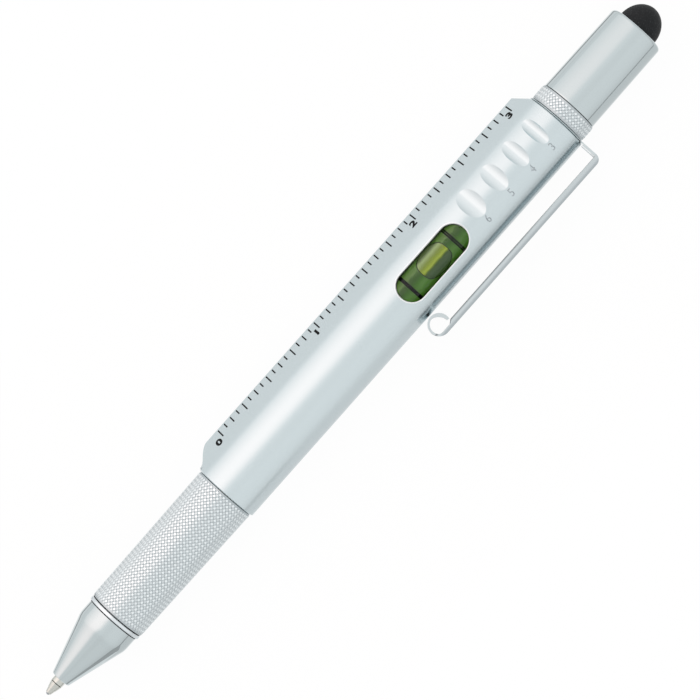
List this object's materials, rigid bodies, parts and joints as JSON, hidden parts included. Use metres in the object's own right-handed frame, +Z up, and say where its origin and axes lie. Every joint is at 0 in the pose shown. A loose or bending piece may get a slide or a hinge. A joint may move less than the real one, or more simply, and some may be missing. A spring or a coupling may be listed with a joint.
{
  "type": "multi tool pen",
  "caption": "Twist ballpoint pen with ruler fin, spirit level, screw gauge, pocket clip, reversible driver bit under the cap and a stylus tip.",
  "frame": {"origin": "centre of the bounding box at the underside of the barrel, which lies rolled so that the ruler edge dips", "axes": "+X along the pen from the writing tip to the stylus, +Y towards the ruler fin, +Z up through the level window"},
  "size_m": [0.1608, 0.0188, 0.0123],
  "materials": {
    "satin_silver": "satin silver paint on an aluminium extrusion",
    "bright_chrome": "bright plated",
    "knurled_metal": "plated over a fine knurl",
    "brass": "turned",
    "steel": "machined",
    "refill_metal": "nickel plated",
    "ink": "ink paste",
    "white_plastic": "moulded",
    "black_plastic": "moulded or printed",
    "clear_acrylic": "polished clear acrylic",
    "green_fluid": "dyed level fluid",
    "rubber": "soft matte",
    "magnet": "nickel plated"
  },
  "bodies": {
    "barrel": {"barrel_shell": "satin_silver", "bearing_bush": "white_plastic", "mechanism_housing": "white_plastic", "vial_cradle": "white_plastic", "level_vial": "clear_acrylic", "vial_fluid": "green_fluid", "vial_plug_front": "clear_acrylic", "vial_plug_rear": "clear_acrylic", "vial_mark_front": "black_plastic", "vial_mark_rear": "black_plastic", "bit_holder": "steel", "bit_magnet": "magnet", "cap_seal_ring": "rubber", "knurled_collar": "knurled_metal", "clip_ring": "bright_chrome"},
    "writing_end": {"nose_cone": "bright_chrome", "grip_sleeve": "knurled_metal", "grip_core": "brass", "cam_rotor": "brass"},
    "refill": {"refill_carrier": "white_plastic", "refill_tube": "refill_metal", "refill_ink": "ink", "refill_tip": "refill_metal", "writing_ball": "steel"},
    "clip": {"clip_strip": "bright_chrome"},
    "stylus_cap": {"cap_shell": "bright_chrome", "cap_liner": "black_plastic", "stylus_dome": "rubber", "stylus_stem": "steel"},
    "bit": {"driver_bit": "steel"}
  },
  "joints": [
    {"name": "grip_twist", "type": "hinge", "parent": "barrel", "child": "writing_end", "pos_m": [-0.03338, 0.00097, 0.00613], "axis": [1, 0, 0], "range_deg": [0, 180]},
    {"name": "refill_feed", "type": "slide", "parent": "barrel", "child": "refill", "axis": [1, 0, 0], "range_m": [0, 0.006]},
    {"name": "clip_flex", "type": "hinge", "parent": "barrel", "child": "clip", "pos_m": [0.05412, -0.00553, 0.00613], "axis": [0, 0, 1], "range_deg": [0, 8], "stiffness_Nm_per_rad": 1},
    {"name": "cap_pull", "type": "slide", "parent": "barrel", "child": "stylus_cap", "axis": [1, 0, 0], "range_m": [0, 0.055]},
    {"name": "bit_draw", "type": "slide", "parent": "barrel", "child": "bit", "axis": [1, 0, 0], "range_m": [0, 0.022]}
  ],
  "couplings": [
    {"joint": "grip_twist", "follows": "refill_feed", "rad_per_m": 523.6},
    {"joint": "bit_draw", "follows": "cap_pull", "ratio": 0.4}
  ]
}
